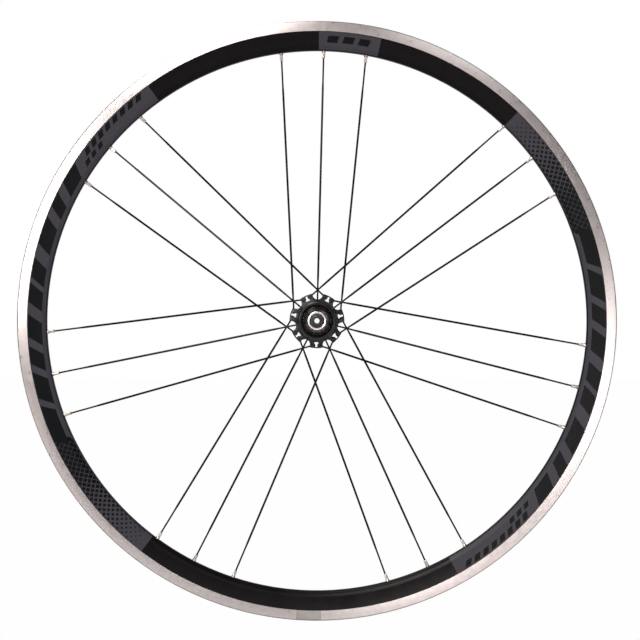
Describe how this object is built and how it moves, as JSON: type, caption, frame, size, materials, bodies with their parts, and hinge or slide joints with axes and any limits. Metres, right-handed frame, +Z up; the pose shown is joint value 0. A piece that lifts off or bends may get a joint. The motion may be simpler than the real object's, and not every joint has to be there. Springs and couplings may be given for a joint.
{
  "type": "bicycle rear wheel",
  "caption": "Spoked road bicycle rear wheel with a hollow black rim, machined brake tracks, bladed spokes, a star-flanged hub, a ratcheting freehub and a hollow axle.",
  "frame": {"origin": "on the wheel's axis, midway between the two locknut faces", "axes": "+Y along the axle towards the freehub, +Z up, -Y towards the left side"},
  "size_m": [0.6339, 0.141, 0.634],
  "materials": {
    "rim_alloy": "black anodised, with machined brake tracks",
    "plain_alloy": "plain",
    "black_spoke_steel": "satin black",
    "nickel_brass": "nickel plated",
    "black_anodised_alloy": "satin black anodised",
    "black_oxide_steel": "black oxide",
    "bright_steel": "bright turned",
    "bearing_steel": "ground",
    "seal_rubber": "moulded",
    "cage_nylon": "moulded"
  },
  "bodies": {
    "axle": {"axle": "black_oxide_steel", "left_axle_sleeve": "black_anodised_alloy", "left_lock_ring": "bright_steel", "left_dust_cap": "black_anodised_alloy", "hub_spacer": "plain_alloy", "freehub_inner_spacer": "plain_alloy", "freehub_outer_spacer": "plain_alloy", "right_dust_cap": "black_anodised_alloy", "right_locknut": "bright_steel", "hub_left_inner_race": "bearing_steel", "hub_right_inner_race": "bearing_steel", "free_inner_race_1": "bearing_steel", "free_inner_race_2": "bearing_steel"},
    "wheel": {"rim": "rim_alloy", "rim_joint_sleeve": "plain_alloy", "left_spokes": "black_spoke_steel", "drive_spokes_leading": "black_spoke_steel", "drive_spokes_trailing": "black_spoke_steel", "left_nipples": "nickel_brass", "drive_nipples": "nickel_brass", "hub_shell": "black_anodised_alloy", "ratchet_ring": "bearing_steel", "freehub_seal": "seal_rubber", "hub_left_outer_race": "bearing_steel", "hub_left_seals": "seal_rubber", "hub_right_outer_race": "bearing_steel", "hub_right_seals": "seal_rubber"},
    "freehub": {"freehub_body": "black_anodised_alloy", "pawl_spring": "bearing_steel", "free_outer_race_1": "bearing_steel", "free_seals_1": "seal_rubber", "free_outer_race_2": "bearing_steel", "free_seals_2": "seal_rubber"},
    "pawl_a": {"pawl_1": "bearing_steel"},
    "pawl_b": {"pawl_2": "bearing_steel"},
    "pawl_c": {"pawl_3": "bearing_steel"},
    "hub_left_ball_set": {"hub_left_balls": "bearing_steel", "hub_left_cage": "cage_nylon"},
    "hub_right_ball_set": {"hub_right_balls": "bearing_steel", "hub_right_cage": "cage_nylon"},
    "free_ball_set_1": {"free_balls_1": "bearing_steel", "free_cage_1": "cage_nylon"},
    "free_ball_set_2": {"free_balls_2": "bearing_steel", "free_cage_2": "cage_nylon"}
  },
  "joints": [
    {"name": "wheel_spin", "type": "hinge", "parent": "axle", "child": "wheel", "pos_m": [0, 0, 0], "axis": [0, -1, 0], "continuous": true},
    {"name": "freehub_spin", "type": "hinge", "parent": "axle", "child": "freehub", "pos_m": [0, 0.042, 0], "axis": [0, -1, 0], "continuous": true},
    {"name": "hub_left_ball_spin", "type": "hinge", "parent": "axle", "child": "hub_left_ball_set", "pos_m": [0, -0.034, 0], "axis": [0, -1, 0], "continuous": true},
    {"name": "hub_right_ball_spin", "type": "hinge", "parent": "axle", "child": "hub_right_ball_set", "pos_m": [0, 0.005, 0], "axis": [0, -1, 0], "continuous": true},
    {"name": "free_ball_1_spin", "type": "hinge", "parent": "axle", "child": "free_ball_set_1", "pos_m": [0, 0.027, 0], "axis": [0, -1, 0], "continuous": true},
    {"name": "free_ball_2_spin", "type": "hinge", "parent": "axle", "child": "free_ball_set_2", "pos_m": [0, 0.052, 0], "axis": [0, -1, 0], "continuous": true},
    {"name": "pawl_a_swing", "type": "hinge", "parent": "freehub", "child": "pawl_a", "pos_m": [0.00504, 0.017, 0.01133], "axis": [0, -1, 0], "range_deg": [0, 12.5], "stiffness_Nm_per_rad": 0.01, "springref_deg": -28.65},
    {"name": "pawl_b_swing", "type": "hinge", "parent": "freehub", "child": "pawl_b", "pos_m": [0.00729, 0.017, -0.01003], "axis": [0, -1, 0], "range_deg": [0, 12.5], "stiffness_Nm_per_rad": 0.01, "springref_deg": -28.65},
    {"name": "pawl_c_swing", "type": "hinge", "parent": "freehub", "child": "pawl_c", "pos_m": [-0.01233, 0.017, -0.0013], "axis": [0, -1, 0], "range_deg": [0, 12.5], "stiffness_Nm_per_rad": 0.01, "springref_deg": -28.65}
  ],
  "couplings": [
    {"joint": "hub_left_ball_spin", "follows": "wheel_spin", "ratio": 0.6322},
    {"joint": "hub_right_ball_spin", "follows": "wheel_spin", "ratio": 0.6322},
    {"joint": "free_ball_1_spin", "follows": "freehub_spin", "ratio": 0.5994},
    {"joint": "free_ball_2_spin", "follows": "freehub_spin", "ratio": 0.5994}
  ]
}
